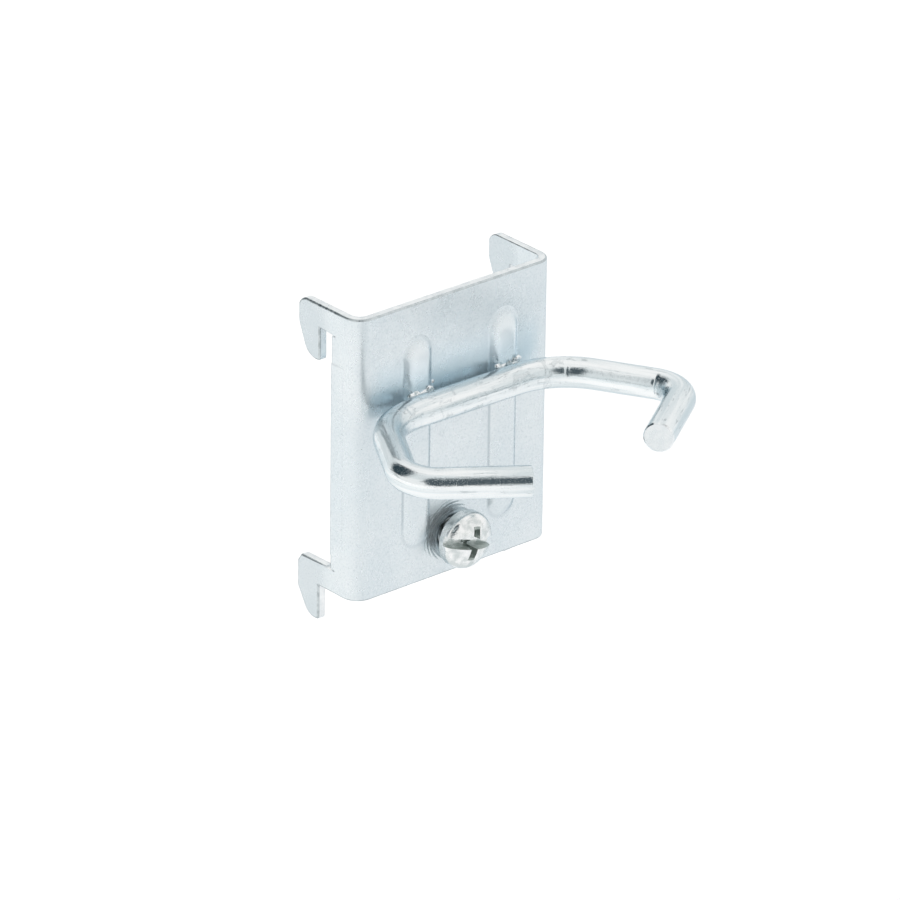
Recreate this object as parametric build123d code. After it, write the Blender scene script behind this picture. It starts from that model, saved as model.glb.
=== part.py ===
from build123d import *
import os

# Hook for a perforated tool panel, in millimetres.
# A folded sheet-steel bracket hangs in the panel by four claws, a bent wire is welded
# across its two pressed ribs, and a screw through its face locks it against the panel.
# +X is to the right of a person facing the panel, the front is towards -Y and +Z is up.
# The origin lies in the panel's face, in the middle of the bracket.

# Panel that the hook is made for
hole_pitch = 38.0

# Sheet of the bracket
sheet = 1.25
bracket_width = 34.7
bracket_depth = 5.35
bend_inside = 1.3
edge_bevel = 0.2

# Claws, the same on both flanges
neck_height = 3.45
claw_reach = 6.8
claw_slot = 2.4
claw_corner_back = 0.75
claw_corner_down = 1.1
claw_tip_round = 0.45
upper_claw_drop = 8.25
upper_claw_shoulder = 3.7
upper_claw_foot = 2.55
upper_claw_round = 2.4
lower_claw_drop = 8.6
lower_claw_shoulder = 4.9
lower_claw_foot = 2.15
lower_claw_round = 2.0

# Nicks where the punch ran past the flange's back edge
upper_nick_deep = 0.9
upper_nick_high = 0.35
lower_nick_deep = 1.0
lower_nick_high = 0.8

# Coined strip along each flange's back edge
strip_wide = 2.5
strip_top_margin = 7.65
strip_bottom_margin = 5.7
strip_step = 0.12

# Pressed ribs on the face
rib_spacing = 15.15
rib_shift = 0.65
rib_width = 4.9
rib_top_margin = 5.3
rib_bottom_margin = 5.65
rib_height = 1.0
rib_wall_slope = 30.0
rib_crest_round = 0.7
rib_end_ramp = 3.2

# Wire hook
wire_diameter = 4.3
bar_half_length = 14.9
bar_height = 6.4
arm_length = 19.1
arm_splay = 30.7
tip_length = 16.6
tip_turn_in = 55.1
bar_bend_radius = 10.7
tip_bend_radius = 4.9
hook_shift = -0.4
hook_lean = 0.56
weld_sink = 0.2
wire_end_chamfer = 0.2

# Drawn hole for the lock screw
screw_bottom_margin = 5.5
thread_clearance = 0.05
collar_wall = 1.1
collar_length = 1.5
collar_rim_bevel = 0.3
hole_mouth_round = 1.4

# Lock screw, M4
screw_radius = 2.0
screw_length = 6.0
screw_point = 0.5
head_radius = 4.05
head_height = 3.25
head_shoulder_round = 1.1
head_crown_radius = 6.5
head_gap = 1.4
slot_width = 1.5
slot_deep = 2.2
slot_turn = -13.0
cross_width = 1.15
cross_span = 4.6
cross_point = 1.2
cross_deep = 2.6

# Cutting shapes run this far past the metal, and faces this close are the same face
past = 1.0
same = 0.01

# Worked out from the sizes above
bracket_height = hole_pitch + neck_height
top = bracket_height / 2
bottom = -top
lowest = top - hole_pitch - lower_claw_drop
face_y = -bracket_depth
back_y = face_y + sheet
bend_outside = bend_inside + sheet
flange_x = bracket_width / 2
wire_radius = wire_diameter / 2
bar_y = face_y - rib_height + weld_sink - wire_radius
hole_radius = screw_radius + thread_clearance
collar_radius = hole_radius + collar_wall
face_plane = Plane(origin=(0, face_y, 0), x_dir=(1, 0, 0), z_dir=(0, -1, 0))
screw_axis = face_plane * Pos(0, bottom + screw_bottom_margin)


def folded_sheet():
    """The sheet bent to a U, with its flanges as deep as the claws reach."""
    deep = bracket_depth + claw_reach
    outside = Pos(0, face_y + deep / 2) * Rectangle(bracket_width, deep)
    outside = fillet(outside.vertices().group_by(Axis.Y)[0], bend_outside)
    inside = Pos(0, back_y + deep / 2) * Rectangle(bracket_width - 2 * sheet, deep)
    inside = fillet(inside.vertices().group_by(Axis.Y)[0], bend_inside)
    return Pos(0, 0, lowest) * extrude(outside - inside, top - lowest)


def claw(claw_top, drop, shoulder, foot, back_round):
    """One claw with its neck, in the flange's plane: back (+Y) is right, up is up."""
    points = [
        (face_y / 2, claw_top),
        (claw_reach - claw_corner_back, claw_top),
        (claw_reach, claw_top - claw_corner_down),
        (claw_reach, claw_top - shoulder),
        (claw_slot + foot, claw_top - drop),
        (claw_slot, claw_top - drop),
        (claw_slot, claw_top - neck_height),
        (face_y / 2, claw_top - neck_height),
    ]
    outline = make_face(Polyline(*points, close=True))
    foot_corners = outline.vertices().group_by(Axis.Y)[0].sort_by(Axis.X)
    outline = fillet(foot_corners[-1], back_round)
    tip = outline.vertices().group_by(Axis.Y)[0].sort_by(Axis.X)[0]
    return fillet(tip, claw_tip_round)


def flange_outline():
    """What is left of each flange, seen from the side."""
    flange = Pos(face_y / 2, 0) * Rectangle(bracket_depth, bracket_height)
    upper = claw(top, upper_claw_drop, upper_claw_shoulder, upper_claw_foot, upper_claw_round)
    lower_top = top - hole_pitch
    lower = claw(lower_top, lower_claw_drop, lower_claw_shoulder, lower_claw_foot, lower_claw_round)
    return flange + upper + lower


def outer_border(body):
    """Edges round the outer skin of the sheet, where the punch rolled them over."""
    faces = body.faces()
    skin = [f for f in faces.filter_by(GeomType.CYLINDER) if abs(f.radius - bend_outside) < same]
    skin += [f for f in faces.filter_by(Axis.X) if abs(abs(f.center().X) - flange_x) < same]
    skin += [f for f in faces.filter_by(Axis.Y) if abs(f.center().Y - face_y) < same]
    edges = [e for f in skin for e in f.edges()]
    return ShapeList([e for e in edges if sum(e.is_same(other) for other in edges) == 1])


def nick(height, deep, high):
    """A round-ended nick across both flanges, at one height of their back edge."""
    outline = Pos(0, height) * SlotOverall(2 * deep, high)
    return extrude(Plane.YZ * outline, flange_x + past, both=True)


def coined_strip(side):
    """A strip along one flange's back edge, set outwards by a small step."""
    tall = bracket_height - strip_top_margin - strip_bottom_margin
    middle = (strip_bottom_margin - strip_top_margin) / 2
    step = Box(strip_step, strip_wide, tall)
    proud = Pos(side * (flange_x + strip_step / 2), -strip_wide / 2, middle) * step
    sunk = Pos(side * (flange_x - sheet + strip_step / 2), -strip_wide / 2, middle) * step
    return proud, sunk


def rib_form(width, length, height, crest_round):
    """A rib standing on the XY plane along Y: sloped walls, and ends that rise in an arc."""
    plan = Rot(0, 0, 90) * SlotOverall(length, width)
    form = extrude(plan, height, taper=rib_wall_slope)
    form = fillet(form.faces().sort_by(Axis.Z)[-1].edges(), crest_round)
    ramp_radius = (rib_end_ramp ** 2 + height ** 2) / (2 * height)
    straight = length / 2 - rib_end_ramp
    rise = Pos(0, height - ramp_radius) * Circle(ramp_radius)
    profile = Pos(straight, 0) * rise + Pos(-straight, 0) * rise
    profile += Pos(0, height - ramp_radius) * Rectangle(2 * straight, 2 * ramp_radius)
    return form & extrude(Plane.YZ * profile, width, both=True)


def pressed_ribs(body):
    """The two ribs raised on the face, each with the groove that it leaves behind."""
    length = bracket_height - rib_top_margin - rib_bottom_margin
    middle = (rib_bottom_margin - rib_top_margin) / 2
    rib = rib_form(rib_width, length, rib_height, rib_crest_round)
    groove = rib_form(rib_width - sheet, length - sheet, rib_height, rib_crest_round)
    for side in (-1, 1):
        place = face_plane * Pos(rib_shift + side * rib_spacing / 2, middle)
        body = body + place * rib - place * Pos(0, 0, -sheet) * groove
    return body


def drawn_collar():
    """Metal of the hole for the screw, drawn through to the back of the sheet."""
    collar = extrude(screw_axis * Circle(collar_radius), -(sheet + collar_length))
    return chamfer(collar.faces().sort_by(Axis.Y)[-1].edges(), collar_rim_bevel)


def screw_hole():
    """The hole with its rounded mouth, as one turned shape."""
    mouth = hole_radius + hole_mouth_round
    far = sheet + collar_length + past
    side = Line((hole_radius, -far), (hole_radius, -hole_mouth_round))
    lip = Bezier((hole_radius, -hole_mouth_round), (hole_radius, 0), (mouth, 0))
    rest = Polyline((mouth, 0), (mouth, past), (0, past), (0, -far), (hole_radius, -far))
    half = make_face(Plane.XZ * (side + lip + rest))
    return screw_axis * revolve(half, Axis.Z)


def hook_path():
    """Centre line of the wire, from the left tip round to the right one."""
    left = Vector(-bar_half_length, 0)
    left_knee = left + Vector(0, -arm_length).rotate(Axis.Z, -arm_splay)
    left_tip = left_knee + Vector(0, -tip_length).rotate(Axis.Z, tip_turn_in)
    half = [left_tip, left_knee, left]
    points = half + [Vector(-p.X, p.Y) for p in reversed(half)]
    radii = [tip_bend_radius, bar_bend_radius, bar_bend_radius, tip_bend_radius]
    return FilletPolyline(*points, radius=radii)


def hook_place():
    """Where the middle of the bar lies on the ribs."""
    return Pos(hook_shift, bar_y, bar_height) * Rot(0, hook_lean, 0)


def wire_hook():
    """The bent wire, swept along its path and broken at its cut ends."""
    path = hook_path()
    section = Plane(origin=path @ 0, z_dir=path % 0) * Circle(wire_radius)
    wire = sweep(section, path)
    ends = [wire.faces().sort_by_distance(path @ t)[0] for t in (0, 1)]
    wire = chamfer([end.edges()[0] for end in ends], wire_end_chamfer)
    return hook_place() * wire


def bar_seat():
    """The straight bar alone, as it sinks into the ribs when it is welded."""
    long = rib_spacing + rib_width + 2 * past
    return hook_place() * Rot(0, 90, 0) * Cylinder(wire_radius, long)


def bracket():
    """The whole folded sheet: flanges, claws, ribs and the drawn hole."""
    body = folded_sheet() & extrude(Plane.YZ * flange_outline(), bracket_width, both=True)
    body = chamfer(outer_border(body), edge_bevel)
    body -= nick(top - neck_height - upper_nick_high / 2, upper_nick_deep, upper_nick_high)
    body -= nick(top - hole_pitch, lower_nick_deep, lower_nick_high)
    for side in (-1, 1):
        proud, sunk = coined_strip(side)
        body = body + proud - sunk
    body = pressed_ribs(body) + drawn_collar()
    return body - screw_hole() - bar_seat()


def head_profile():
    """Half of the screw head, from the seat (y = 0) to the crown."""
    crown_drop = head_crown_radius - (head_crown_radius ** 2 - head_radius ** 2) ** 0.5
    crown_side = head_height - crown_drop
    side = Line((head_radius, 0), (head_radius, crown_side))
    crown = RadiusArc((head_radius, crown_side), (0, head_height), -head_crown_radius)
    base = Polyline((0, head_height), (0, 0), (head_radius, 0))
    half = make_face(side + crown + base)
    rim = half.vertices().sort_by(Axis.X)[-2:].sort_by(Axis.Y)[-1]
    return fillet(rim, head_shoulder_round)


def cross_wing():
    """One pair of the cross recess's arms, narrowing from the crown to its floor."""
    mouth = Pos(0, 0, head_height) * Rectangle(cross_span, cross_width)
    floor = Pos(0, 0, head_height - cross_deep) * Rectangle(cross_point, cross_width / 2)
    return loft([floor, mouth])


def lock_screw():
    """Pan-head screw with a slot right across a cross recess, not quite driven home."""
    head = revolve(Plane.XZ * head_profile(), Axis.Z)
    shank = extrude(Circle(screw_radius), -screw_length)
    shank = chamfer(shank.faces().sort_by(Axis.Z)[0].edges(), screw_point)
    slot = Pos(0, 0, head_height) * Box(2 * (head_radius + past), slot_width, 2 * slot_deep)
    screw = head + shank - slot - cross_wing() - Rot(0, 0, 90) * cross_wing()
    return screw_axis * Pos(0, 0, head_gap) * Rot(0, 0, slot_turn) * screw


nodes = {
    "bracket": bracket(),
    "wire_hook": wire_hook(),
    "lock_screw": lock_screw(),
}

os.makedirs("parts", exist_ok=True)
for name, solid in nodes.items():
    export_step(solid, f"parts/{name}.step")
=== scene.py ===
from functools import reduce
from itertools import pairwise
from math import atan2, cos, exp, hypot, pi, radians, sin, sqrt, tan

import bmesh
import bpy
from mathutils import Matrix, Vector, noise


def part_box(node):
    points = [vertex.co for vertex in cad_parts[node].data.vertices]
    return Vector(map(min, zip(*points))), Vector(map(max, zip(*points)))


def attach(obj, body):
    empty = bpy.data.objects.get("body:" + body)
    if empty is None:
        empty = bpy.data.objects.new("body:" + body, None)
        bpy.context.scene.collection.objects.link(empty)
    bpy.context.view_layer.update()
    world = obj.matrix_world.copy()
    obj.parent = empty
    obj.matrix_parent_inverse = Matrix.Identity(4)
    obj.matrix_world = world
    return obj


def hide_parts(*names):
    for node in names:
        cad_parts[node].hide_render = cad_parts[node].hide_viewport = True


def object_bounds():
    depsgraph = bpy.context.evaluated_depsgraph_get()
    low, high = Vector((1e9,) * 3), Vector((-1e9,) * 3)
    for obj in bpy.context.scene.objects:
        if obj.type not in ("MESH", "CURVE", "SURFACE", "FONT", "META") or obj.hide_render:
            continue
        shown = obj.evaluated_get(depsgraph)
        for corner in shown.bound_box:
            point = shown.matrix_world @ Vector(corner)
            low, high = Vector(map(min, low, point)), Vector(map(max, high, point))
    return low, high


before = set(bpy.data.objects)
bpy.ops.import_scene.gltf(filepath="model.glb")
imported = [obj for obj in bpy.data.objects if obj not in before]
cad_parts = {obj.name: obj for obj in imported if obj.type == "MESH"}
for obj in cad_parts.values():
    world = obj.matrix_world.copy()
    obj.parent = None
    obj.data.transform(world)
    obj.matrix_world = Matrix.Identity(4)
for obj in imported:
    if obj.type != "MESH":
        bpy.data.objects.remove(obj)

cad_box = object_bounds()

# The photograph's camera, worked out from the bracket's straight edges
frame_pixels = 900
focal_pixels = 8294
camera_left = radians(40.829)
camera_rise = radians(25.051)
camera_roll = radians(0.736)
aim_point = Vector((0, 0, 0.020725))
aim_pixel = (430.97, 277.3)
aim_distance = 1.10926
sensor = 36.0

# Floor, far enough below the claws that the shadow falls out of the picture
floor_drop = 0.07
floor_half = 4.0
floor_dim = (0.76, 0.77, 0.78)
floor_bright = (0.90, 0.89, 0.88)
floor_brighter_towards = (-0.65, 0.76, 0)
floor_fade = 0.16
floor_lift_dim = 0.40
floor_lift_bright = 0.44

# Light of the tent, and the dark openings in it
tent_white = (1.0, 0.995, 0.985)
tent_patches = (
    dict(towards=(-0.53, -0.62, 0.52), inner=21, outer=32, colour=(0.10, 0.125, 0.14)),
    dict(towards=(-0.42, 0.69, 0.59), inner=20, outer=30, colour=(0.04, 0.065, 0.08)),
)

# Colours of the plating
grazing_tint = (0.74, 0.80, 0.83)
sheet_blue = (0.755, 0.825, 0.86)
sheet_pale = (0.815, 0.87, 0.895)
sheet_fleck = (0.90, 0.93, 0.95)
# Dark of the sheet's real pits and specks, also laid on as painted shade at the ribs' feet and to darken the
# claws
sheet_pit_and_shade = (0.52, 0.59, 0.63)
# Painted highlight on the rib crests above the bar
crest_painted_highlight = (0.93, 0.96, 0.975)
# Painted reflection: blue laid on the sheet near the bar, where wire and sheet reflect each other's shade
reflected_blue = (0.68, 0.84, 0.93)
# Painted shade in the hole's rounded mouth, round the screw
mouth_painted_shade = (0.18, 0.23, 0.25)
rubbed = (0.80, 0.82, 0.83)
cut_dull = (0.78, 0.81, 0.825)
cut_pale = (0.92, 0.935, 0.94)
# Painted dark of the flange's top corner, a painted reflection, and of the thread, painted shade
corner_painted_dark = (0.20, 0.235, 0.25)
corner_grey = (0.50, 0.55, 0.57)
corner_pale = (0.62, 0.67, 0.69)
wire_grey = (0.66, 0.725, 0.75)
wire_pale = (0.88, 0.905, 0.915)
wire_bruise = (0.56, 0.61, 0.63)
wire_crease = (0.34, 0.39, 0.41)
wire_end_grey = (0.70, 0.745, 0.765)
wire_end_pale = (0.80, 0.83, 0.845)
weld_dark = (0.40, 0.47, 0.50)
screw_dull = (0.62, 0.66, 0.66)
screw_pale = (0.90, 0.91, 0.91)
# The slot's colours, the dark one painted shade towards its bottom
slot_painted_shade = (0.36, 0.41, 0.385)
slot_grey = (0.60, 0.65, 0.62)
# The cross's colours, painted dark as shade in its recess
cross_painted_shade = (0.36, 0.41, 0.39)
cross_grey = (0.78, 0.82, 0.80)

# How much of the colour under it each tint hides
fleck_cover = 0.5
speck_cover = 0.45
pit_cover = 0.4
crest_highlight_cover = 0.7
rib_foot_shade_cover = 0.8
claw_cover = 0.35
reflected_blue_cover = 0.65
bruise_cover = 0.4
crease_cover = 0.7
rub_cover = 0.6

# How metallic the duller platings are, and how softly a mark fades
sheet_metallic = 0.74
slot_metallic = 0.6
mark_fade = 0.08

# Sheet of the bracket
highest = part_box("bracket")[1]
top = highest.z
reach = highest.y
hole_pitch = 0.038
neck = 0.00345
bottom = top - hole_pitch - neck
sheet = 0.00125
face_y = -0.00535
flange_x = 0.01735
bend_outside = 0.00255
bend_inside = 0.0013
bend_steps = 10
rolled_edge = 0.00026
burred_edge = 0.0001

# Claws
claw_slot = 0.0024
claw_corner_back = 0.00075
claw_corner_down = 0.0011
claw_corner_round = 0.0003
claw_tip_round = 0.00045
upper_claw = dict(drop=0.00825, shoulder=0.0037, foot=0.00255, round=0.0024)
lower_claw = dict(drop=0.0086, shoulder=0.0049, foot=0.00215, round=0.002)
upper_nick_top = top - neck
upper_nick_deep = 0.0009
upper_nick_high = 0.0002
lower_nick_middle = top - hole_pitch
lower_nick_deep = 0.001
lower_nick_high = 0.00025
nick_round_share = 0.45

# Coined strip along the flange's back edge
strip_wide = 0.0025
strip_top = top - 0.00765
strip_bottom = bottom + 0.0057
strip_step = 0.00012
strip_ramp = 0.0001

# Ribs pressed into the face
rib_places = (-0.006925, 0.008225)
rib_middle = 0.000175
rib_half_width = 0.00245
rib_half_length = 0.01525
rib_height = 0.001
rib_slope = radians(48)
rib_foot_round = 0.0006
rib_crest_round = 0.0014
rib_end_ramp = 0.0032
groove_inset = 0.000625
rib_steps = 40
rib_ring_spread = 0.02

# Hole drawn through for the screw
hole_middle = Vector((0, face_y, bottom + 0.0055))
hole_radius = 0.00205
hole_mouth_round = 0.0014
hole_mouth_skirt = hole_mouth_round / 8
collar_radius = 0.00315
collar_root_round = 0.0005
collar_root_skirt = collar_root_round / 4
collar_deep = sheet + 0.0015
hole_steps = 56

# Wire
wire_radius = 0.00215
bar_half = 0.0149
arm_length = 0.0191
arm_splay = radians(30.7)
tip_length = 0.0166
tip_turn_in = radians(55.1)
bar_bend_radius = 0.0107
tip_bend_radius = 0.0049
hook_place = Matrix.Translation((-0.0004, -0.0083, 0.0064)) @ Matrix.Rotation(radians(0.56), 4, "Y")
wire_end_chamfer = 0.0002
wire_steps = 56
wire_ring_gap = 0.0003
bar_top = hook_place.translation.z + wire_radius
bar_front = hook_place.translation.y - wire_radius
# How far the painted blue reflection on the sheet reaches from the bar's top
reflected_blue_reach = 0.0065

# Waves left by the drawing die: their depth, and how many to the metre round and along the wire
wire_wave = 0.00001
waves_round = 500
waves_along = 180
ripples_round = 1500
ripples_along = 500

# Marks of the bending tool on the wire: which bend and end, shift from it, where round it, and size
inner_side = pi
bend_marks = (
    dict(bend=2, end=1, shift=-0.0038, turn=inner_side - 0.7, wide=0.6, long=0.00028, deep=0.00016),
    dict(bend=2, end=1, shift=-0.0026, turn=inner_side - 1.2, wide=0.4, long=0.0007, deep=0.00008),
    dict(bend=3, end=0, shift=0.0008, turn=inner_side - 0.5, wide=0.7, long=0.00026, deep=0.00014),
    dict(bend=3, end=0, shift=0.0002, turn=inner_side - 1.1, wide=0.4, long=0.0005, deep=0.00006),
    dict(bend=1, end=1, shift=-0.0008, turn=inner_side - 0.2, wide=0.7, long=0.0003, deep=0.0001),
    dict(bend=1, end=0, shift=0, turn=inner_side + 0.2, wide=0.9, long=0.0005, deep=0.0001),
    dict(bend=0, end=0, shift=0, turn=inner_side, wide=0.8, long=0.0005, deep=0.00012),
)

# Beads squeezed out where the bar is welded to the ribs, and drops of spatter: x, z and radius
beads = (
    dict(x=-0.0012, rise=0.00155, half=Vector((0.0011, 0.00045, 0.0006))),
    dict(x=0.0003, rise=0.0014, half=Vector((0.0012, 0.0004, 0.0005))),
    dict(x=0.0015, rise=0.0017, half=Vector((0.0008, 0.00045, 0.0006))),
)
bead_lumps = 0.00028
lumps_to_metre = 1800
bead_steps = 28
bead_rings = 16
spatter = (
    (-0.0049, 0.0091, 0.00028), (-0.0079, 0.0083, 0.00018),
    (0.0098, 0.0086, 0.0002), (0.0066, 0.0089, 0.00016),
)
spatter_stand = 0.3

# Lock screw, M4
seat_y = face_y - 0.0014
screw_radius = 0.002
thread_root = 0.00158
thread_pitch = 0.0007
screw_length = 0.006
screw_point = 0.0005
head_radius = 0.00405
head_height = 0.00325
thread_sink = head_height / 6
shoulder_round = 0.0011
crown_radius = 0.0065
slot_width = 0.0015
slot_deep = 0.0022
slot_length = 2.5 * head_radius
slot_foot = 0.9
slot_turn = radians(-13)
cross_width = 0.00115
cross_span = 0.0046
cross_point = 0.0012
cross_deep = 0.0026
cross_foot = 0.5
screw_steps = 72

# Steps round the curves, and turns of thread to spare before its ends are cut
edge_steps = 3
small_round_steps = 5
round_steps = 8
crown_steps = 12
spare_turns = 4

# Angles, in degrees, past which the shading breaks
sheet_sharp = 50
wire_sharp = 40
weld_sharp = 60
screw_sharp = 32

# What counts as touching, the unit of a relief's depth, and what counts as square on
tiny = 1e-6
micron = 1e-6
nearly_square = 0.9


def begin(add, **where):
    """Add one primitive with nothing else selected, fix its place in its mesh and open it."""
    bpy.ops.object.select_all(action="DESELECT")
    add(**where)
    bpy.ops.object.transform_apply()
    bpy.ops.object.mode_set(mode="EDIT")
    return bpy.context.object


def opened():
    """The mesh that is open for editing, with its items numbered."""
    form = bmesh.from_edit_mesh(bpy.context.object.data)
    for items in (form.verts, form.edges, form.faces):
        items.index_update()
        items.ensure_lookup_table()
    return form


def pick(kind, test):
    """Select just the vertices, edges or faces of the open mesh that pass a test."""
    bpy.ops.mesh.select_mode(type={"verts": "VERT", "edges": "EDGE", "faces": "FACE"}[kind])
    bpy.ops.mesh.select_all(action="DESELECT")
    form = opened()
    for item in getattr(form, kind):
        if test(item):
            item.select_set(True)
    form.select_flush_mode()
    bmesh.update_edit_mesh(bpy.context.object.data)


def picked():
    """Numbers of the vertices that are selected."""
    return {v.index for v in opened().verts if v.select}


def push(x, y, z):
    """Extrude what is selected along one step."""
    bpy.ops.mesh.extrude_edges_move(TRANSFORM_OT_translate={"value": (x, y, z)})


def close():
    """Leave the open mesh."""
    bpy.ops.object.mode_set(mode="OBJECT")


def lies_at(item, axis, place):
    """Whether an edge or face lies at one place along an axis."""
    return all(abs(getattr(v.co, axis) - place) < tiny for v in item.verts)


def merge_doubles():
    """Join what meets in the open mesh, and leave all of it selected."""
    bpy.ops.mesh.select_all(action="SELECT")
    bpy.ops.mesh.remove_doubles(threshold=tiny)


def face_outwards():
    """Turn every face of the open mesh outwards."""
    bpy.ops.mesh.select_all(action="SELECT")
    bpy.ops.mesh.normals_make_consistent(inside=False)


def hold(*pieces):
    """Select just these pieces, the first of them active."""
    bpy.ops.object.select_all(action="DESELECT")
    for piece in pieces:
        piece.select_set(True)
    bpy.context.view_layer.objects.active = pieces[0]


def coat(piece, *materials):
    """Give a piece its materials, in the order of its faces' numbers."""
    for material in materials:
        piece.data.materials.append(material)


def change(piece, kind, **settings):
    """Give a piece one modifier and apply it."""
    hold(piece)
    modifier = piece.modifiers.new(kind, kind)
    for name, value in settings.items():
        setattr(modifier, name, value)
    bpy.ops.object.modifier_apply(modifier=modifier.name)


def hand_over(piece, corner, name, body, slot, *replaced):
    """Shade a finished piece, name it, and say what it moves with and stands for."""
    hold(piece)
    bpy.ops.object.shade_smooth_by_angle(angle=radians(corner))
    change(piece, "WEIGHTED_NORMAL", keep_sharp=True)
    piece.name = name
    piece.data.name = name
    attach(piece, body)
    if replaced:
        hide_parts(*replaced)


def rib_rings(half_width, half_length, foot_round, crest_round):
    """Half width, half length and height of the rings up a rib, from the flat face to its crest."""
    wall_foot = foot_round * (1 - cos(rib_slope))
    crest = half_width - rib_height / tan(rib_slope) - crest_round * tan(rib_slope / 2)
    foot = half_width + foot_round * tan(rib_slope / 2)
    turns = [rib_slope * k / small_round_steps for k in range(small_round_steps + 1)]
    section = [(foot + foot_round / 3, 0)]
    section += [(foot - foot_round * sin(turn), foot_round * (1 - cos(turn))) for turn in turns]
    section += [
        (crest + crest_round * sin(turn), rib_height - crest_round * (1 - cos(turn)))
        for turn in reversed(turns)]
    ramp_radius = (rib_end_ramp ** 2 + rib_height ** 2) / (2 * rib_height)
    rings = []
    for width, height in section:
        ramp = sqrt(ramp_radius ** 2 - (ramp_radius - rib_height + height) ** 2)
        flare = foot_round * max(0, 1 - height / wall_foot) ** 2
        length = half_length - rib_end_ramp + ramp + flare + rib_ring_spread * width
        rings.append((width, length, height))
    return rings


def raise_rib(x, face, rings):
    """Rings of one rib or groove, from the face up to a closed crest."""
    def pick_end(end):
        """Select half of the ring."""
        pick("verts", lambda v: v.index in ring and end * (v.co.z - rib_middle) > 0)

    width, length = rings[0][:2]
    bpy.ops.mesh.primitive_circle_add(
        vertices=rib_steps, radius=width, location=(x, face, rib_middle),
        rotation=(pi / 2, pi / rib_steps, 0))
    ring = picked()
    for end in (1, -1):
        pick_end(end)
        bpy.ops.transform.translate(value=(0, 0, end * (length - width)))
    pick("verts", lambda v: v.index in ring)
    for (width, length, height), (next_width, next_length, next_height) in pairwise(rings):
        push(0, height - next_height, 0)
        ring = picked()
        scale = next_width / width
        shift = next_length - next_width - length + width
        for end in (1, -1):
            pick_end(end)
            centre = (x, 0, rib_middle + end * (length - width))
            bpy.ops.transform.resize(value=(scale, 1, scale), center_override=centre)
            bpy.ops.transform.translate(value=(0, 0, end * shift))
        pick("verts", lambda v: v.index in ring)
    bpy.ops.mesh.edge_face_add()


def rounded_mouth(radius, rounding, steps, skirt):
    """Rings of a rounded mouth, with a flat skirt outside it: radius and depth."""
    turns = [pi / 2 * k / steps for k in range(steps + 1)]
    mouth = [(radius + rounding * (1 - sin(turn)), rounding * (1 - cos(turn))) for turn in turns]
    return [(radius + rounding + skirt, 0)] + mouth


def sink_hole(face, rings):
    """Rings of the drawn hole, from the face back to its open end: radius and depth."""
    centre = Vector((hole_middle.x, face, hole_middle.z))
    bpy.ops.mesh.primitive_circle_add(
        vertices=hole_steps, radius=rings[0][0], location=centre, rotation=(pi / 2, 0, 0))
    for (radius, depth), (next_radius, next_depth) in pairwise(rings):
        push(0, next_depth - depth, 0)
        scale = next_radius / radius
        bpy.ops.transform.resize(value=(scale, 1, scale), center_override=centre)


def flange_corners():
    """Corners (y, z) of a flange's free edge, from its top down, with the round of each."""
    corners = []
    for claw_top, claw in ((top, upper_claw), (top - hole_pitch, lower_claw)):
        corners += [
            (reach - claw_corner_back, claw_top, claw_corner_round),
            (reach, claw_top - claw_corner_down, claw_corner_round),
            (reach, claw_top - claw["shoulder"], claw["round"] / 2),
            (claw_slot + claw["foot"], claw_top - claw["drop"], claw["round"]),
            (claw_slot, claw_top - claw["drop"], claw_tip_round),
            (claw_slot, claw_top - neck, 0),
        ]
        if claw is upper_claw:
            half = lower_nick_high / 2
            upper_round = upper_nick_high * nick_round_share
            lower_round = lower_nick_high * nick_round_share
            corners += [
                (-upper_nick_deep, upper_nick_top, upper_round),
                (-upper_nick_deep, upper_nick_top - upper_nick_high, upper_round),
                (0, upper_nick_top - upper_nick_high, 0),
                (0, lower_nick_middle + half, 0),
                (-lower_nick_deep, lower_nick_middle + half, lower_round),
                (-lower_nick_deep, lower_nick_middle - half, lower_round),
                (lower_nick_deep, lower_nick_middle - half, lower_round),
                (lower_nick_deep, lower_nick_middle, 0),
            ]
    return corners


def round_corner(corners, number):
    """Round one corner of both flanges by a vertex bevel that gives its radius."""
    y, z, radius = corners[number]
    before = Vector(corners[number - 1][:2]) - Vector((y, z))
    after = Vector(corners[number + 1][:2]) - Vector((y, z))
    inside = before.angle(after)
    pick("verts", lambda v: abs(v.co.y - y) < tiny and abs(v.co.z - z) < tiny)
    bpy.ops.mesh.bevel(affect="VERTICES", offset=radius / tan(inside / 2), segments=round_steps)


def in_nick(edge):
    """Whether an edge lies inside one of the thin nicks by the necks."""
    for nick_top, high, deep in (
            (upper_nick_top, upper_nick_high, upper_nick_deep),
            (lower_nick_middle + lower_nick_high / 2, lower_nick_high, lower_nick_deep)):
        low = nick_top - high - tiny
        if all(low < v.co.z < nick_top + tiny and abs(v.co.y) < deep + tiny for v in edge.verts):
            return True
    return False


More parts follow.
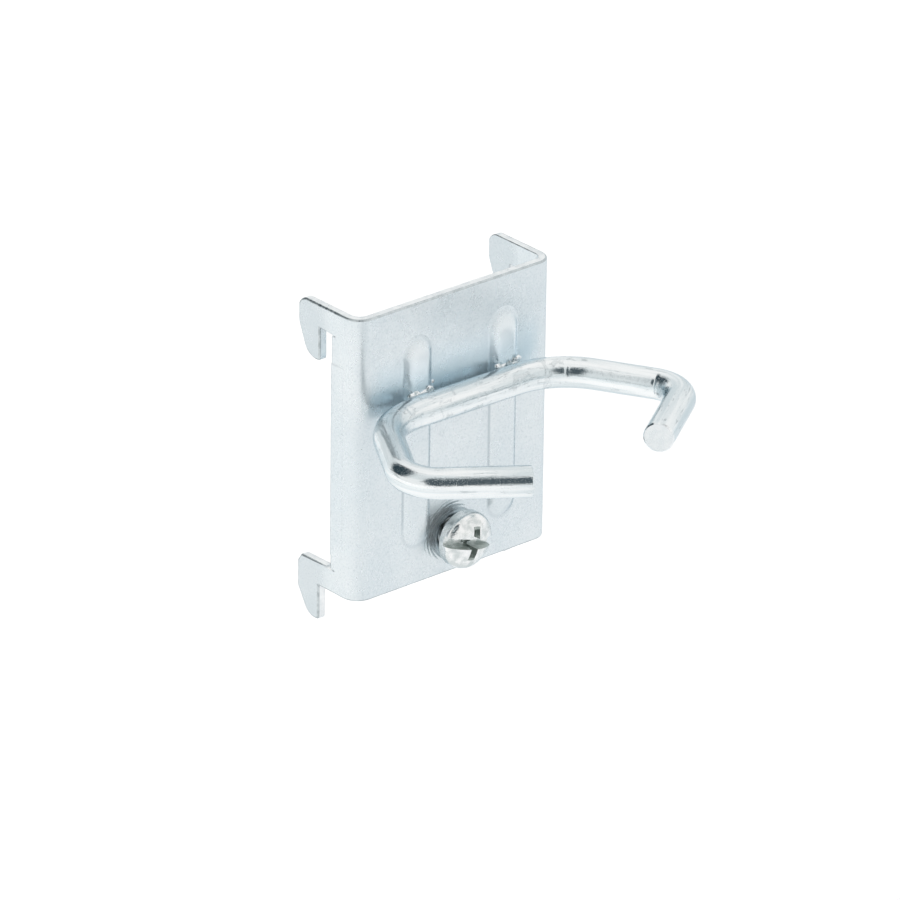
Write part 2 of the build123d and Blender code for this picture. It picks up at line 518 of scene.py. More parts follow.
def sheet_skin(face, side, bend, ribs, hole):
    """One side of the sheet, outer or inner: face, bends and flanges, as an open skin."""
    flat_half = side - bend
    skin = begin(
        bpy.ops.mesh.primitive_plane_add, size=top - bottom, location=(0, face, 0), rotation=(pi / 2, 0, 0))
    bpy.ops.transform.resize(value=(2 * flat_half / (top - bottom), 1, 1), center_override=(0, face, 0))
    bpy.ops.mesh.delete(type="ONLY_FACE")
    for x in rib_places:
        raise_rib(x, face, ribs)
    sink_hole(face, hole)
    pick("edges", lambda e: len(e.link_faces) < 2 and lies_at(e, "y", face))
    bpy.ops.mesh.fill()
    for way in (1, -1):
        pick("edges", lambda e: lies_at(e, "x", way * flat_half))
        centre = (way * flat_half, face + bend, 0)
        bpy.ops.mesh.spin(steps=bend_steps, angle=-way * pi / 2, center=centre, axis=(0, 0, 1))
    pick("verts", lambda v: abs(abs(v.co.x) - side) < tiny and abs(v.co.z - top) < tiny)
    corners = flange_corners()
    route = [(face + bend, top)] + [corner[:2] for corner in corners] + [(face + bend, bottom)]
    for start, end in pairwise(route):
        bpy.ops.mesh.extrude_vertices_move(
            TRANSFORM_OT_translate={"value": (0, end[0] - start[0], end[1] - start[1])})
    merge_doubles()
    for way in (1, -1):
        pick("edges", lambda e: len(e.link_faces) < 2 and lies_at(e, "x", way * side))
        bpy.ops.mesh.edge_face_add()
    for number, corner in enumerate(corners):
        if corner[2]:
            round_corner(corners, number)
    coin_strip(side)
    close()
    return skin


def coin_strip(side):
    """Set a strip along each flange's back edge outwards, with a short ramp round it."""
    cuts = [(0, -strip_wide, 0), (0, -strip_wide - strip_ramp, 0)]
    cuts += [(0, 0, strip_top), (0, 0, strip_top + strip_ramp)]
    cuts += [(0, 0, strip_bottom), (0, 0, strip_bottom - strip_ramp)]
    for place in cuts:
        pick("faces", lambda f: lies_at(f, "x", side) or lies_at(f, "x", -side))
        along = (0, 1, 0) if place[1] else (0, 0, 1)
        bpy.ops.mesh.bisect(plane_co=place, plane_no=along, threshold=tiny)
    for way in (1, -1):
        pick("verts", lambda v: way * v.co.x > side - tiny and -strip_wide - tiny < v.co.y < tiny
             and strip_bottom - tiny < v.co.z < strip_top + tiny)
        bpy.ops.transform.translate(value=(way * strip_step, 0, 0))


def make_bracket(*materials):
    """The folded sheet, from its outer and inner skins and the cut edge between them."""
    inner_mark = len(materials)
    collar_end = collar_deep - sheet
    outer_hole = rounded_mouth(hole_radius, hole_mouth_round, round_steps, hole_mouth_skirt)
    outer_hole += [(hole_radius, collar_deep - rolled_edge), (hole_radius + rolled_edge, collar_deep)]
    outer_hole += [(collar_radius - rolled_edge, collar_deep)]
    inner_hole = rounded_mouth(collar_radius, collar_root_round, small_round_steps, collar_root_skirt)
    inner_hole += [(collar_radius, collar_end - rolled_edge), (collar_radius - rolled_edge, collar_end)]
    outer_ribs = rib_rings(rib_half_width, rib_half_length, rib_foot_round, rib_crest_round)
    inner_ribs = rib_rings(
        rib_half_width - groove_inset, rib_half_length - groove_inset, rib_foot_round, rib_crest_round / 2)
    outer = sheet_skin(face_y, flange_x, bend_outside, outer_ribs, outer_hole)
    inner = sheet_skin(face_y + sheet, flange_x - sheet, bend_inside, inner_ribs, inner_hole)
    outer_faces = len(outer.data.polygons)
    skin_faces = outer_faces + len(inner.data.polygons)
    hold(outer, inner)
    bpy.ops.object.join()
    coat(outer, *materials)
    bpy.ops.object.mode_set(mode="EDIT")
    merge_doubles()
    pick("edges", lambda e: e.is_boundary)
    bpy.ops.mesh.bridge_edge_loops()
    face_outwards()
    for face in opened().faces:
        if face.index >= skin_faces:
            face.material_index = 1
        elif face.index >= outer_faces:
            face.material_index = inner_mark
    bmesh.update_edit_mesh(outer.data)
    for skin_mark, width in ((0, rolled_edge), (inner_mark, burred_edge)):
        marks = {skin_mark, 1}
        pick("edges", lambda e: {f.material_index for f in e.link_faces} == marks and not in_nick(e))
        bpy.ops.mesh.bevel(
            offset=width, segments=edge_steps, clamp_overlap=False, loop_slide=False, material=2)
    for face in opened().faces:
        if face.material_index == inner_mark:
            face.material_index = 0
    bmesh.update_edit_mesh(outer.data)
    pick("faces", lambda f: len(f.verts) > 4)
    bpy.ops.mesh.quads_convert_to_tris(ngon_method="BEAUTY")
    bpy.ops.mesh.select_all(action="SELECT")
    bpy.ops.mesh.dissolve_degenerate(threshold=tiny)
    close()
    hand_over(outer, sheet_sharp, "folded_bracket", "bracket", "zinc_plated_sheet", "bracket")


def wire_stages():
    """Each straight run of the wire with the turn and radius of the bend after it."""
    knee_turn = arm_splay + tip_turn_in
    bar_turn = pi / 2 - arm_splay
    knee_cut = tip_bend_radius * tan(knee_turn / 2)
    bar_cut = bar_bend_radius * tan(bar_turn / 2)
    tip_run = tip_length - knee_cut
    arm_run = arm_length - knee_cut - bar_cut
    return (
        (tip_run - wire_end_chamfer, knee_turn, tip_bend_radius),
        (arm_run, bar_turn, bar_bend_radius),
        (2 * (bar_half - bar_cut), bar_turn, bar_bend_radius),
        (arm_run, knee_turn, tip_bend_radius),
        (tip_run - wire_end_chamfer, 0, 0),
    )


def measure_ring(along):
    """Write how far along the wire the selected ring lies."""
    form = opened()
    unbent = form.verts.layers.float_vector["unbent"]
    for vertex in form.verts:
        if vertex.select:
            vertex[unbent].z = along


def draw_wire():
    """Run an open ring along the wire's path, and return where each bend starts and ends."""
    heading = pi / 2 + tip_turn_in
    place = Vector((
        tip_length * sin(tip_turn_in) - arm_length * sin(arm_splay) - bar_half,
        -arm_length * cos(arm_splay) - tip_length * cos(tip_turn_in), 0))
    along = wire_end_chamfer
    ahead = Vector((cos(heading), sin(heading), 0))
    place += ahead * along
    begin(
        bpy.ops.mesh.primitive_circle_add, vertices=wire_steps, radius=wire_radius, location=place,
        rotation=ahead.to_track_quat("Z", "Y").to_euler())
    form = opened()
    unbent = form.verts.layers.float_vector.new("unbent")
    outwards = Vector((-sin(heading), cos(heading), 0))
    for vertex in form.verts:
        offset = vertex.co - place
        vertex[unbent] = (offset.dot(outwards), offset.z, along)
    bends = []
    for run, turn, radius in wire_stages():
        ahead = Vector((cos(heading), sin(heading), 0))
        steps = round(run / wire_ring_gap)
        for _ in range(steps):
            push(*ahead * (run / steps))
            along += run / steps
            measure_ring(along)
        place += ahead * run
        if turn:
            centre = place + Vector((sin(heading), -cos(heading), 0)) * radius
            start = along
            steps = round(radius * turn / wire_ring_gap)
            for _ in range(steps):
                bpy.ops.mesh.spin(steps=1, angle=turn / steps, center=centre, axis=(0, 0, 1))
                along += radius * turn / steps
                measure_ring(along)
            bends.append((start, along))
            heading -= turn
            place = centre + Vector((-sin(heading), cos(heading), 0)) * radius
    return bends


def wear_wire(piece, bends):
    """Gentle waves of the drawn wire and the dents of the bending tool."""
    unbent = piece.data.attributes["unbent"].data
    normals = [v.normal.copy() for v in piece.data.vertices]
    for vertex, normal, measure in zip(piece.data.vertices, normals, unbent):
        across, up, along = measure.vector
        if hypot(across, up) < wire_radius - tiny:
            continue
        wave = noise.noise(Vector((across * waves_round, up * waves_round, along * waves_along)))
        ripple = Vector((across * ripples_round, up * ripples_round, along * ripples_along))
        wave += noise.noise(ripple) / 3
        inwards = wire_wave * (1 + wave)
        for mark in bend_marks:
            offset = (along - bends[mark["bend"]][mark["end"]] - mark["shift"]) / mark["long"]
            swing = (atan2(up, across) - mark["turn"] + pi) % (2 * pi) - pi
            inwards += mark["deep"] * exp(-offset ** 2 - (swing / mark["wide"]) ** 2)
        vertex.co -= normal * inwards


def make_wire(*materials):
    """The bent wire, drawn flat and then set where it is welded on."""
    bends = draw_wire()
    piece = bpy.context.object
    for way in (-1, 1):
        pick("edges", lambda e: e.is_boundary and all(way * v.co.x > 0 for v in e.verts))
        heading = -way * (pi / 2 + tip_turn_in)
        push(*Vector((cos(heading), sin(heading), 0)) * way * wire_end_chamfer)
        ring = [v.co for v in opened().verts if v.select]
        middle = sum(ring, Vector()) / len(ring)
        scale = 1 - wire_end_chamfer / wire_radius
        bpy.ops.transform.resize(value=(scale, scale, scale), center_override=middle)
        bpy.ops.mesh.edge_face_add()
    for face in opened().faces:
        if len(face.verts) == wire_steps:
            face.material_index = 1
    bmesh.update_edit_mesh(piece.data)
    face_outwards()
    close()
    wear_wire(piece, bends)
    piece.matrix_world = hook_place
    bpy.ops.object.transform_apply()
    coat(piece, *materials)
    hand_over(piece, wire_sharp, "bent_wire", "bracket", "zinc_plated_wire", "wire_hook")


def bead(place, half, lumps):
    """One lumpy bead of squeezed metal."""
    drop = begin(
        bpy.ops.mesh.primitive_uv_sphere_add, segments=bead_steps, ring_count=bead_rings, radius=1,
        location=(0, 0, 0))
    bpy.ops.transform.resize(value=half)
    bpy.ops.transform.translate(value=place)
    close()
    for vertex in drop.data.vertices:
        out = (vertex.co - place).normalized()
        vertex.co += out * lumps * noise.noise(vertex.co * lumps_to_metre)
    return drop


def make_weld_flash(material):
    """Metal squeezed out above and below the bar on both ribs, and a few drops of spatter."""
    crest = face_y - rib_height
    drops = []
    for x in rib_places:
        for way in (1, -1):
            for lump in beads:
                z = hook_place.translation.z + way * lump["rise"]
                drops.append(bead(Vector((x + lump["x"], crest, z)), lump["half"], bead_lumps))
    for x, z, radius in spatter:
        place = Vector((x, crest + spatter_stand * radius, z))
        drops.append(bead(place, Vector((radius, radius, radius)), radius / 3))
    hold(*drops)
    bpy.ops.object.join()
    coat(drops[0], material)
    hand_over(drops[0], weld_sharp, "weld_flash", "bracket", "zinc_plated_sheet")


def turned(rings):
    """A closed shape turned round the Z axis: radius and height of each ring."""
    radius, height = rings[0]
    piece = begin(
        bpy.ops.mesh.primitive_circle_add, vertices=screw_steps, radius=radius, location=(0, 0, height))
    for (radius, height), (next_radius, next_height) in pairwise(rings):
        push(0, 0, next_height - height)
        scale = next_radius / radius
        bpy.ops.transform.resize(value=(scale, scale, 1), center_override=(0, 0, next_height))
    bpy.ops.mesh.edge_face_add()
    pick("edges", lambda e: e.is_boundary)
    bpy.ops.mesh.edge_face_add()
    face_outwards()
    close()
    return piece


def cut_block(length, width, depth, foot):
    """A block let into the head from its crown's height, narrowing to its foot."""
    block = begin(bpy.ops.mesh.primitive_cube_add, size=2, location=(0, 0, 0))
    bpy.ops.transform.resize(value=(length / 2, width / 2, depth / 2))
    bpy.ops.transform.translate(value=(0, 0, head_height - depth / 2))
    pick("verts", lambda v: v.co.z < head_height - depth / 2)
    bpy.ops.transform.resize(value=(*foot, 1), center_override=(0, 0, 0))
    pick("faces", lambda f: f.normal.z > nearly_square)
    bpy.ops.mesh.extrude_region_move(TRANSFORM_OT_translate={"value": (0, 0, head_height)})
    close()
    return block


def combine(piece, tool, operation):
    """Cut a piece with a tool or join them, and drop the tool."""
    change(piece, "BOOLEAN", operation=operation, object=tool, solver="EXACT")
    bpy.data.objects.remove(tool)


def make_head():
    """The head with its crown, and the slot and cross pressed into it."""
    drop = sqrt((crown_radius - shoulder_round) ** 2 - (head_radius - shoulder_round) ** 2)
    crown_middle = head_height - crown_radius
    shoulder_middle = crown_middle + drop
    shoulder_turn = atan2(drop, head_radius - shoulder_round)
    rings = [(thread_root, 0), (head_radius - rolled_edge, 0), (head_radius, rolled_edge)]
    for k in range(round_steps + 1):
        turn = shoulder_turn * k / round_steps
        radius = head_radius - shoulder_round * (1 - cos(turn))
        rings.append((radius, shoulder_middle + shoulder_round * sin(turn)))
    for k in range(1, crown_steps):
        turn = shoulder_turn + (pi / 2 - shoulder_turn) * k / crown_steps
        rings.append((crown_radius * cos(turn), crown_middle + crown_radius * sin(turn)))
    head = turned(rings)
    combine(head, cut_block(slot_length, slot_width, slot_deep, (1, slot_foot)), "DIFFERENCE")
    for turn in (0, pi / 2):
        wing = cut_block(cross_span, cross_width, cross_deep, (cross_point / cross_span, cross_foot))
        wing.matrix_world = Matrix.Rotation(turn, 4, "Z")
        combine(head, wing, "DIFFERENCE")
    return head


def make_thread():
    """The threaded shank: one turn's outline, wound down the axis and cut off square."""
    flat = thread_pitch / 8
    start = (thread_root, 0, -screw_length - 2 * thread_pitch)
    outline = begin(bpy.ops.mesh.primitive_plane_add, size=thread_pitch, location=start)
    pick("verts", lambda v: True)
    bpy.ops.mesh.merge(type="CENTER")
    slope = (thread_pitch - 2 * flat) / 2
    deep = screw_radius - thread_root
    for step in ((deep, slope), (0, flat), (-deep, slope), (0, flat)):
        bpy.ops.mesh.extrude_vertices_move(TRANSFORM_OT_translate={"value": (step[0], 0, step[1])})
    close()
    turns = spare_turns + int((screw_length + 2 * thread_sink) / thread_pitch)
    steps = screw_steps // 2
    change(outline, "SCREW", screw_offset=thread_pitch, iterations=turns, steps=steps, render_steps=steps)
    bpy.ops.object.mode_set(mode="EDIT")
    merge_doubles()
    for height, side in ((-screw_length, "clear_inner"), (thread_sink, "clear_outer")):
        bpy.ops.mesh.select_all(action="SELECT")
        bpy.ops.mesh.bisect(
            plane_co=(0, 0, height), plane_no=(0, 0, 1), use_fill=True, threshold=tiny, **{side: True})
    face_outwards()
    close()
    for vertex in outline.data.vertices:
        limit = screw_radius - screw_point + vertex.co.z + screw_length
        radius = hypot(vertex.co.x, vertex.co.y)
        if radius > limit:
            vertex.co.x *= limit / radius
            vertex.co.y *= limit / radius
    return outline


def make_screw(*materials):
    """The lock screw: head and thread in one piece, with finishes of their own in the slot and cross."""
    head = make_head()
    combine(head, make_thread(), "UNION")
    head.data.materials.clear()
    coat(head, *materials)
    for face in head.data.polygons:
        across, along, height = abs(face.center.x), abs(face.center.y), face.center.z
        below_slot = rolled_edge < height < head_height - slot_deep - tiny
        if height < 0:
            face.material_index = 3
        elif below_slot and hypot(across, along) < cross_span / 2:
            face.material_index = 2
        elif along < slot_width / 2 + tiny and abs(face.normal.y) > nearly_square:
            face.material_index = 1
        elif along > slot_width / 2 and across < cross_width / 2 + tiny and along < cross_span / 2 + tiny:
            face.material_index = 2
    hold(head)
    head.matrix_world = (
        Matrix.Translation((hole_middle.x, seat_y, hole_middle.z)) @ Matrix.Rotation(pi / 2, 4, "X")
        @ Matrix.Rotation(slot_turn, 4, "Z"))
    bpy.ops.object.transform_apply()
    hand_over(head, screw_sharp, "slotted_screw", "lock_screw", "zinc_plated_screw", "lock_screw")


def make_camera():
    """A long lens, left of the hook and above it."""
    level_share = cos(camera_rise)
    back = Vector((-sin(camera_left) * level_share, -cos(camera_left) * level_share, sin(camera_rise)))
    level = Vector((cos(camera_left), -sin(camera_left), 0))
    upright = back.cross(level)
    right = level * cos(camera_roll) + upright * sin(camera_roll)
    up = upright * cos(camera_roll) - level * sin(camera_roll)
    aside = (aim_pixel[0] - frame_pixels / 2) / focal_pixels * aim_distance
    above = (frame_pixels / 2 - aim_pixel[1]) / focal_pixels * aim_distance
    place = aim_point + back * aim_distance - right * aside - up * above
    data = bpy.data.cameras.new("camera")
    data.sensor_width = sensor
    data.lens = sensor * focal_pixels / frame_pixels
    data.clip_start = 0.01
    data.clip_end = 50
    camera = bpy.data.objects.new("camera", data)
    turn = Matrix((right, up, back)).transposed().to_4x4()
    camera.matrix_world = Matrix.Translation(place) @ turn
    bpy.context.collection.objects.link(camera)
    bpy.context.scene.camera = camera


class Nodes:
    """One node tree, with short ways to add nodes and join them."""

    def __init__(self, tree):
        self.tree = tree

    def feed(self, socket, value):
        """Give a socket a value, or join another node's output to it."""
        if isinstance(value, bpy.types.NodeSocket):
            self.tree.links.new(value, socket)
        elif isinstance(value, tuple) and socket.type == "RGBA":
            socket.default_value = (*value, 1)
        else:
            socket.default_value = value

    def add(self, kind, feeds=None, **settings):
        """A new node with its settings, and its sockets fed by name or number."""
        node = self.tree.nodes.new("ShaderNode" + kind)
        for name, value in settings.items():
            setattr(node, name, value)
        for socket, value in (feeds or {}).items():
            self.feed(node.inputs[socket], value)
        return node

    def sums(self, operation, first, second):
        """One step of arithmetic."""
        return self.add("Math", {0: first, 1: second}, operation=operation).outputs[0]

    def total(self, *values):
        """The sum of several sockets."""
        return reduce(lambda one, other: self.sums("ADD", one, other), values)

    def product(self, *masks):
        """A mask that is full only where all of these are."""
        return reduce(lambda one, other: self.sums("MULTIPLY", one, other), masks)

    def off(self, value, middle):
        """How far a value is from a middle, either way."""
        return self.sums("ABSOLUTE", self.sums("SUBTRACT", value, middle), 0)

    def vectors(self, operation, *places):
        """One step of arithmetic on places, with its Vector and its Value."""
        return self.add("VectorMath", dict(enumerate(places)), operation=operation).outputs

    def between(self, mask, low, high, start=0, end=1):
        """A value that goes smoothly from low to high as the mask goes from start to end."""
        feeds = {"Value": mask, "From Min": start, "From Max": end, "To Min": low, "To Max": high}
        return self.add("MapRange", feeds, interpolation_type="SMOOTHSTEP").outputs["Result"]

    def tint(self, mask, low, high):
        """A colour that goes from low to high with the mask."""
        feeds = {"Factor": mask, "A": low, "B": high}
        return self.add("Mix", feeds, data_type="RGBA").outputs["Result"]

    def mottle(self, cloud, low, high, start=0.35, end=0.65):
        """A colour that goes from low to high over the middle of a noise."""
        return self.tint(self.between(cloud, 0, 1, start, end), low, high)

    def vary(self, cloud, low, high):
        """A value that goes from low to high over the wider middle of a noise."""
        return self.between(cloud, low, high, 0.3, 0.7)

    def noise(self, place, scale, detail=2, roughness=0.5, distortion=0):
        """Cloudy noise from 0 to 1."""
        feeds = {
            "Vector": place, "Scale": scale, "Detail": detail, "Roughness": roughness,
            "Distortion": distortion}
        return self.add("TexNoise", feeds).outputs["Fac"]

    def shown(self):
        """1 where the camera looks straight at it or sees it in metal or glass."""
        path = self.add("LightPath").outputs
        return self.total(path["Is Camera Ray"], path["Is Glossy Ray"], path["Is Transmission Ray"])


def make_world():
    """A bright tent round the hook, with dark openings where the camera and a door are."""
    world = bpy.data.worlds.new("tent")
    world.use_nodes = True
    world.node_tree.nodes.clear()
    nodes = Nodes(world.node_tree)
    view = nodes.add("TexCoord").outputs["Generated"]

    tone = tent_white
    for patch in tent_patches:
        towards = nodes.vectors("DOT_PRODUCT", view, Vector(patch["towards"]).normalized())["Value"]
        inside = nodes.between(towards, 0, 1, cos(radians(patch["outer"])), cos(radians(patch["inner"])))
        tone = nodes.tint(inside, tone, patch["colour"])
    light = nodes.add("Background", {"Color": tone})
    nodes.add("OutputWorld", {"Surface": light.outputs[0]})
    bpy.context.scene.world = world


def make_floor():
    """A wide pale floor, seen as white but still holding the hook's shadow."""
    bpy.ops.mesh.primitive_plane_add(size=2 * floor_half, location=(0, 0, cad_box[0].z - floor_drop))
    floor = bpy.context.object
    floor.name = "floor"
    material = bpy.data.materials.new("floor_paper")
    material.use_nodes = True
    material.node_tree.nodes.clear()
    nodes = Nodes(material.node_tree)
    place = nodes.add("TexCoord").outputs["Object"]
    across = nodes.vectors("DOT_PRODUCT", place, floor_brighter_towards)["Value"]
    fade = nodes.between(across, 0, 1, -floor_fade, floor_fade)
    paper = nodes.add("BsdfDiffuse", {"Color": nodes.tint(fade, floor_dim, floor_bright)})
    lift = nodes.product(nodes.shown(), nodes.between(fade, floor_lift_dim, floor_lift_bright))
    glow = nodes.add("Emission", {"Strength": lift})
    both = nodes.add("AddShader", {0: paper.outputs[0], 1: glow.outputs[0]})
    nodes.add("OutputMaterial", {"Surface": both.outputs[0]})
    floor.data.materials.append(material)


class Effect(Nodes):
    """A node group for an effect that several finishes share."""

    def __init__(self, name, *numbers):
        super().__init__(bpy.data.node_groups.new(name, "ShaderNodeTree"))
        face = self.tree.interface
        face.new_socket("Place", in_out="INPUT", socket_type="NodeSocketVector")
        for number in numbers:
            face.new_socket(number, in_out="INPUT", socket_type="NodeSocketFloat")
        self.given = self.tree.nodes.new("NodeGroupInput").outputs
        self.end = self.tree.nodes.new("NodeGroupOutput")

    def give(self, name, value):
        """Put one result out of the group."""
        self.tree.interface.new_socket(name, in_out="OUTPUT", socket_type="NodeSocketFloat")
        self.tree.links.new(value, self.end.inputs[name])


def plated_grain():
    """Fine grain and soft clouding of plated steel."""
    effect = Effect("plated_grain", "Fine", "Clouds")
    effect.give("Grain", effect.noise(effect.given["Place"], effect.given["Fine"], 3, 0.6))
    effect.give("Clouding", effect.noise(effect.given["Place"], effect.given["Clouds"], 5))
    return effect.tree


def drawn_streaks():
    """Long fine lines along Z, where metal ran through a die or over a roll."""
    effect = Effect("drawn_streaks", "Across", "Along")
    given = effect.given
    size = effect.add("CombineXYZ", {"X": given["Across"], "Y": given["Across"], "Z": given["Along"]})
    long = effect.vectors("MULTIPLY", given["Place"], size.outputs[0])["Vector"]
    effect.give("Lines", effect.noise(long, 1, 4))
    effect.give("Bands", effect.noise(long, 0.3, 2))
    return effect.tree


def handling_scuffs():
    """Small bruises of the plating: 0 outside a mark and 1 well inside it."""
    effect = Effect("handling_scuffs", "Size", "Rarity")
    cloud = effect.noise(effect.given["Place"], effect.given["Size"], 6, 0.65, 0.8)
    full = effect.sums("ADD", effect.given["Rarity"], mark_fade)
    effect.give("Marks", effect.between(cloud, 0, 1, effect.given["Rarity"], full))
    return effect.tree


def worn_edges():
    """Outer edges of a piece, broken up a little."""
    effect = Effect("worn_edges", "Breaks", "Reach")
    shape = effect.add("NewGeometry").outputs["Pointiness"]
    cloud = effect.noise(effect.given["Place"], effect.given["Breaks"], 3)
    broken = effect.total(shape, effect.vary(cloud, -0.05, 0.05))
    full = effect.sums("ADD", effect.given["Reach"], mark_fade)
    effect.give("Edges", effect.between(broken, 0, 1, effect.given["Reach"], full))
    return effect.tree


class Finish(Nodes):
    """A plated finish: a metal shader, and the place that its patterns follow."""

    effects = {make.__name__: make() for make in (plated_grain, drawn_streaks, handling_scuffs, worn_edges)}

    def __init__(self, name, measure=None, metallic=1):
        self.material = bpy.data.materials.new(name)
        self.material.use_nodes = True
        super().__init__(self.material.node_tree)
        self.shader = self.tree.nodes["Principled BSDF"]
        self.feed(self.shader.inputs["Metallic"], metallic)
        self.feed(self.shader.inputs["Specular Tint"], grazing_tint)
        if measure:
            self.place = self.add("Attribute", attribute_name=measure).outputs["Vector"]
        else:
            self.place = self.add("TexCoord").outputs["Object"]

    def effect(self, name, **numbers):
        """The results of a shared effect, with this finish's own numbers."""
        return self.add("Group", {"Place": self.place, **numbers}, node_tree=self.effects[name]).outputs

    def wear(self, colour, roughness, *reliefs):
        """Feed the shader: colour, roughness, and reliefs with their depth in microns."""
        self.feed(self.shader.inputs["Base Color"], colour)
        self.feed(self.shader.inputs["Roughness"], roughness)
        normal = None
        for height, depth in reliefs:
            bump = self.add("Bump", {"Height": height, "Distance": depth * micron})
            if normal:
                self.feed(bump.inputs["Normal"], normal)
            normal = bump.outputs["Normal"]
        self.feed(self.shader.inputs["Normal"], normal)
        return self.material


def sheet_finish():
    """Blue-white zinc on rolled sheet: soft, clouded and fine-grained."""
    metal = Finish("zinc_sheet", metallic=sheet_metallic)
    grain, clouds = metal.effect("plated_grain", Fine=4200, Clouds=420)
    broad = metal.effect("plated_grain", Fine=1500, Clouds=90)["Clouding"]
    rolled = metal.effect("drawn_streaks", Across=1400, Along=130)["Bands"]
    pits = metal.effect("handling_scuffs", Size=2600, Rarity=0.66)["Marks"]
    scuffs = metal.effect("handling_scuffs", Size=420, Rarity=0.67)["Marks"]
    colour = metal.mottle(broad, sheet_blue, sheet_pale)
    colour = metal.tint(metal.between(grain, 0, fleck_cover, 0.48, 0.75), colour, sheet_fleck)
    colour = metal.tint(metal.between(grain, speck_cover, 0, 0.25, 0.5), colour, sheet_pit_and_shade)
    colour = metal.tint(metal.between(pits, 0, pit_cover), colour, sheet_pit_and_shade)

    side, back, height = metal.add("SeparateXYZ", {0: metal.place}).outputs
    # Painted highlight: the rib crests above the bar painted paler
    above_bar = metal.between(height, 0, 1, bar_top, bar_top + rib_end_ramp)
    crest = metal.between(back, crest_highlight_cover, 0, face_y - rib_height, face_y - 0.2 * rib_height)
    colour = metal.tint(metal.product(crest, above_bar), colour, crest_painted_highlight)
    # Painted shade: a dark band round the foot of each rib wall, stronger below the bar
    low_end = rib_middle - rib_half_length
    foot = metal.product(
        metal.between(back, 1, 0, face_y - 0.1 * rib_height, face_y - 0.02 * rib_height),
        metal.between(back, 0, 1, face_y - 0.35 * rib_height, face_y - 0.15 * rib_height),
        metal.between(height, 0.3, rib_foot_shade_cover, low_end + rib_end_ramp / 2, low_end + 1.5 * rib_end_ramp),
        metal.between(height, 1, 0.2, bar_top, bar_top + rib_end_ramp))
    colour = metal.tint(foot, colour, sheet_pit_and_shade)
    # The claws painted darker beyond the flange's back edge
    colour = metal.tint(metal.between(back, 0, claw_cover, 0, claw_slot), colour, sheet_pit_and_shade)
    # Painted reflection: the sheet tinted blue near the bar's height, between the bends
    reflection_mask = metal.product(
        metal.between(metal.off(height, bar_top), 1, 0, 0, reflected_blue_reach),
        metal.between(metal.off(side, 0), reflected_blue_cover, 0, bar_half - bend_outside, bar_half + bend_inside))
    colour = metal.tint(reflection_mask, colour, reflected_blue)

    from_hole = metal.vectors("SUBTRACT", metal.place, hole_middle)["Vector"]
    across_hole = metal.vectors("MULTIPLY", from_hole, (1, 0, 1))["Vector"]
    radius = metal.vectors("LENGTH", across_hole)["Value"]
    # Painted shade: the hole's mouth darkened round the screw
    mouth = metal.between(
        radius, 1, 0, hole_radius + 0.4 * hole_mouth_round, hole_radius + 0.9 * hole_mouth_round)
    colour = metal.tint(mouth, colour, mouth_painted_shade)
    rub = metal.between(radius, 1, 0, head_radius, 1.5 * head_radius)
    rings = metal.add(
        "TexWave", {"Vector": from_hole, "Scale": 620, "Distortion": 2, "Detail": 1},
        wave_type="RINGS", rings_direction="Y").outputs["Fac"]
    rough = metal.total(
        metal.vary(clouds, 0.25, 0.33), metal.between(scuffs, 0, 0.03), metal.vary(rolled, -0.03, 0.03),
        metal.between(rub, 0, -0.14))
    return metal.wear(colour, rough, (grain, 12), (clouds, 10), (broad, 30), (metal.product(rings, rub), 22))


def cut_finish():
    """The sheared edge of the sheet, bright and uneven."""
    metal = Finish("zinc_cut_edge")
    grain, clouds = metal.effect("plated_grain", Fine=5200, Clouds=900)
    colour = metal.mottle(clouds, cut_dull, cut_pale)
    return metal.wear(colour, metal.vary(clouds, 0.25, 0.4), (grain, 12), (clouds, 20))


def corner_finish():
    """The rolled corners and the burrs beside the cut, where the plating is thin and broken, with a painted
    reflection: a dark line painted along the flange's top corner.
    """
    metal = Finish("zinc_corner")
    grain, coarse = metal.effect("plated_grain", Fine=5200, Clouds=1100)
    # Painted reflection: a dark line painted along the flange's top corner
    top_corner_painted_dark = metal.mottle(coarse, corner_painted_dark, corner_grey, 0.45, 0.6)
    rolled = metal.mottle(coarse, corner_grey, corner_pale)
    back, height = metal.add("SeparateXYZ", {0: metal.place}).outputs[1:]
    flange_top = metal.product(
        metal.between(back, 0, 1, face_y + bend_outside, 0),
        metal.between(height, 0.3, 1, top - claw_corner_down, top - claw_corner_down / 2))
    colour = metal.tint(flange_top, rolled, top_corner_painted_dark)
    return metal.wear(colour, metal.vary(grain, 0.25, 0.4), (grain, 20), (coarse, 30))


